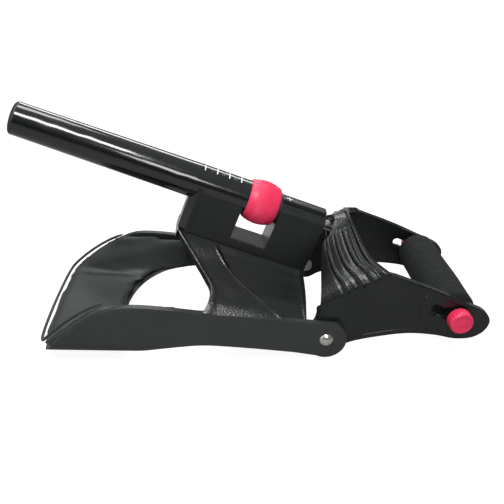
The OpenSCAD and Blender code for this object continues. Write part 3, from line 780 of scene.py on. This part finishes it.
def grip_piece():
    """Foam sleeve with compressed ends and a slightly uneven, hand-softened surface."""
    rng = np.random.default_rng(SEED)
    half = 53.0
    waves = [(rng.uniform(0.05, 0.16), rng.integers(1, 5), rng.uniform(0.03, 0.11), rng.uniform(0, 6.28))
             for _ in range(9)]
    rows, around = 120, 128
    points = []
    for k in range(rows + 1):
        y = -half + 2 * half * k / rows
        end = half - abs(y)
        nose = 4.5
        r = 16.0 if end >= nose else 16.0 - nose + math.sqrt(max(0.0, nose ** 2 - (nose - end) ** 2))
        for s in range(around):
            a = 2 * math.pi * s / around
            soft = sum(h * math.sin(m * a + f * y + p) for h, m, f, p in waves)
            rr = r + 0.55 * soft * min(1.0, end / 6)
            points.append((GRIP_X + rr * math.cos(a), y, GRIP_Z + rr * math.sin(a)))
    faces = []
    for k in range(rows):
        for s in range(around):
            q = (s + 1) % around
            faces.append((k * around + s, k * around + q, (k + 1) * around + q, (k + 1) * around + s))
    base = len(points)
    for y in (-half, half):
        for s in range(around):
            a = 2 * math.pi * s / around
            points.append((GRIP_X + 8.1 * math.cos(a), y, GRIP_Z + 8.1 * math.sin(a)))
    for s in range(around):
        q = (s + 1) % around
        faces.append((s, base + s, base + q, q))
        last = rows * around
        faces.append((last + s, last + q, base + around + q, base + around + s))
        faces.append((base + s, base + around + s, base + around + q, base + q))
    obj = mesh_from("grip_foam", points, faces)
    fix_normals(obj)
    dress(obj, "foam_grey")
    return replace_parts(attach(obj, "grip"), "foam_grip")


def knob_piece(side, name, node):
    """Clamping knob: fluted edge, dished face and a raised centre button."""
    profile = [(0.0, 0.0), (0.0, 8.2), (0.5, 8.75), (5.8, 8.85), (7.0, 8.5), (7.7, 7.8), (8.0, 6.9),
               (7.75, 6.0), (7.65, 4.2), (7.7, 3.2), (7.95, 2.4), (8.0, 0.0)]
    fine = [curve_at(profile, t) for t in np.linspace(0, len(profile) - 1, 60)]
    around, flutes = 360, 20
    rows = len(fine)
    points = []
    for k in range(around):
        a = 2 * math.pi * k / around
        wave = max(0.0, math.cos(flutes * a)) ** 2
        for d, r in fine:
            rr = max(r - 0.35 * wave * float(smooth_step(r, 7.8, 8.7)), 0.0)
            y = side * (KNOB_IN + max(d, 0.0))
            points.append((GRIP_X + rr * math.cos(a), y, GRIP_Z + rr * math.sin(a)))
    faces = []
    for k in range(around):
        q = (k + 1) % around
        for i in range(rows - 1):
            faces.append((k * rows + i, k * rows + i + 1, q * rows + i + 1, q * rows + i))
    obj = mesh_from(name, points, faces)
    bm = bmesh.new()
    bm.from_mesh(obj.data)
    bmesh.ops.remove_doubles(bm, verts=bm.verts, dist=1e-6)
    bmesh.ops.recalc_face_normals(bm, faces=bm.faces)
    bm.to_mesh(obj.data)
    bm.free()
    dress(obj, "knob_pink")
    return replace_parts(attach(obj, node), node)


SEGMENTS = {   # strokes of plain numerals on a 2 by 4 grid, as pairs of corners
    1: [(1, 0, 1, 4)], 2: [(0, 4, 2, 4), (2, 4, 2, 2), (2, 2, 0, 2), (0, 2, 0, 0), (0, 0, 2, 0)],
    3: [(0, 4, 2, 4), (2, 4, 2, 0), (0, 2, 2, 2), (0, 0, 2, 0)],
    4: [(0, 4, 0, 2), (0, 2, 2, 2), (2, 4, 2, 0)]}


def scale_numerals():
    """Numerals 1 to 4 between the ticks of the scale, printed on the tube."""
    pitch, first, cell, r = 9.5, -121.6, 0.95, 13.58
    points, faces = [], []
    for number, strokes in SEGMENTS.items():
        middle = first + pitch * (4 - number) + pitch / 2 + 0.4
        for c0, d0, c1, d1 in strokes:
            low_c, high_c = min(c0, c1) * cell - 0.19, max(c0, c1) * cell + 0.19
            low_d, high_d = min(d0, d1) * cell - 0.19, max(d0, d1) * cell + 0.19
            base = len(points)
            for lift in (0.0, 0.09):
                for d, c in ((low_d, low_c), (low_d, high_c), (high_d, high_c), (high_d, low_c)):
                    angle = (-5.4 + d) / r
                    rr = r - 0.06 + lift
                    points.append(tube_point(middle - cell + c, rr * math.sin(angle), rr * math.cos(angle)))
            faces += [(base, base + 1, base + 2, base + 3), (base + 7, base + 6, base + 5, base + 4)]
            faces += [(base + k, base + (k + 1) % 4, base + 4 + (k + 1) % 4, base + 4 + k) for k in range(4)]
    obj = mesh_from("scale_numerals", points, faces, smooth=False)
    fix_normals(obj)
    dress(obj, "print_grey")
    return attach(obj, "tube")


# ---------------------------------------------------------------- scene

def camera():
    """Camera at the fitted viewpoint: slightly from the left and 27 degrees down."""
    eye = np.array([-77.7, -458.9, 274.8])
    turn, pitch = math.radians(3.3), math.radians(26.9)
    ahead = Vector((math.sin(turn) * math.cos(pitch), math.cos(turn) * math.cos(pitch), -math.sin(pitch)))
    data = bpy.data.cameras.new("camera")
    data.lens = 36.0 * 650.0 / 504.0
    data.sensor_width = 36.0
    data.clip_start = 0.01
    cam = bpy.data.objects.new("camera", data)
    cam.location = Vector((eye + SEAT) * MM)
    cam.rotation_euler = ahead.to_track_quat("-Z", "Y").to_euler()
    bpy.context.scene.collection.objects.link(cam)
    bpy.context.scene.camera = cam


def area_light(name, place, target, size, power):
    """Soft rectangular light at place, in metres from the wrist axis."""
    data = bpy.data.lights.new(name, "AREA")
    data.shape = "RECTANGLE"
    data.size, data.size_y = size
    data.energy = power
    lamp = bpy.data.objects.new(name, data)
    lamp.location = Vector(np.array(place) + SEAT * MM)
    aim = Vector(target) - Vector(place)
    lamp.rotation_euler = aim.to_track_quat("-Z", "Y").to_euler()
    bpy.context.scene.collection.objects.link(lamp)


def studio():
    """Pale floor, white surroundings for the camera and darker ones for reflections."""
    world = bpy.data.worlds.new("studio")
    world.use_nodes = True
    bpy.context.scene.world = world
    tree = world.node_tree
    tree.nodes.clear()
    out = tree.nodes.new("ShaderNodeOutputWorld")
    mix = tree.nodes.new("ShaderNodeMixShader")
    path = tree.nodes.new("ShaderNodeLightPath")
    seen = tree.nodes.new("ShaderNodeBackground")
    seen.inputs["Color"].default_value = (1, 1, 1, 1)
    seen.inputs["Strength"].default_value = 1.0
    lit = tree.nodes.new("ShaderNodeBackground")
    coords = tree.nodes.new("ShaderNodeTexCoord")
    split = tree.nodes.new("ShaderNodeSeparateXYZ")
    ramp = tree.nodes.new("ShaderNodeValToRGB")
    ramp.color_ramp.elements[0].position = 0.45
    ramp.color_ramp.elements[0].color = (0.014, 0.015, 0.015, 1)
    ramp.color_ramp.elements[1].position = 0.95
    ramp.color_ramp.elements[1].color = (0.42, 0.44, 0.45, 1)
    add = tree.nodes.new("ShaderNodeMath")
    add.operation = "MULTIPLY_ADD"
    add.inputs[1].default_value = 0.5
    add.inputs[2].default_value = 0.5
    links = tree.links
    links.new(coords.outputs["Generated"], split.inputs["Vector"])
    links.new(split.outputs["Z"], add.inputs[0])
    links.new(add.outputs["Value"], ramp.inputs["Fac"])
    links.new(ramp.outputs["Color"], lit.inputs["Color"])
    links.new(path.outputs["Is Camera Ray"], mix.inputs["Fac"])
    links.new(lit.outputs["Background"], mix.inputs[1])
    links.new(seen.outputs["Background"], mix.inputs[2])
    links.new(mix.outputs["Shader"], out.inputs["Surface"])

    # name, place, size in metres, power in watts
    for name, place, extent, power in (
            ("key", (-0.1, -0.55, 0.85), (0.45, 0.22), 6),
            ("front", (0.08, -0.85, 0.5), (0.2, 0.2), 1.2),
            ("top", (-0.2, 0.1, 1.0), (0.9, 0.2), 4),
            ("back", (0.1, 0.9, 0.7), (0.9, 0.25), 4),
            ("side", (-0.9, -0.5, 0.35), (0.3, 0.5), 1.0)):
        area_light(name, place, LIGHT_AIM, extent, power)

    size = 3.0
    z = -DROP - 0.3
    floor = mesh_from("floor", [(-size / MM, -size / MM, z), (size / MM, -size / MM, z),
                                (size / MM, size / MM, z), (-size / MM, size / MM, z)], [(0, 1, 2, 3)])
    look = Look("floor", (0.3, 0.3, 0.3), 0.7)
    look.vary_roughness(look.noise(3), 0.65, 0.75)
    # white for the camera; in reflections dark in front of the part and bright behind it
    look.shader.inputs["Emission Color"].default_value = (1, 1, 1, 1)
    tree = look.tree
    ray = tree.nodes.new("ShaderNodeLightPath")
    split = tree.nodes.new("ShaderNodeSeparateXYZ")
    behind = tree.nodes.new("ShaderNodeMapRange")
    behind.inputs["From Min"].default_value = 0.06
    behind.inputs["From Max"].default_value = 0.25
    behind.inputs["To Max"].default_value = 0.6
    strength = tree.nodes.new("ShaderNodeMath")
    strength.operation = "MAXIMUM"
    shown = tree.nodes.new("ShaderNodeMath")
    shown.operation = "MULTIPLY"
    shown.inputs[1].default_value = 0.9
    look.link(look.coords, split.inputs["Vector"])
    look.link(split.outputs["Y"], behind.inputs["Value"])
    look.link(ray.outputs["Is Camera Ray"], shown.inputs[0])
    look.link(shown.outputs["Value"], strength.inputs[0])
    look.link(behind.outputs["Result"], strength.inputs[1])
    look.link(strength.outputs["Value"], look.shader.inputs["Emission Strength"])
    floor.data.materials.append(look.material)
    bpy.context.scene.view_settings.view_transform = "Standard"


dress_cad_nodes()

arch = arch_piece()
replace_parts(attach(arch, "cradle"), "arch_body")
arch_flanges()
web = web_piece()
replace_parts(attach(web, "yoke"), "yoke_hood")
yoke_beads()
pad_piece()
piping = pad_piping()
dress(piping, "pad_leather")
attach(piping, "cradle")
ring_piece()
grip_piece()
knob_piece(-1, "knob_near", "near_knob")
knob_piece(1, "knob_far", "far_knob")
scale_numerals()
camera()
studio()
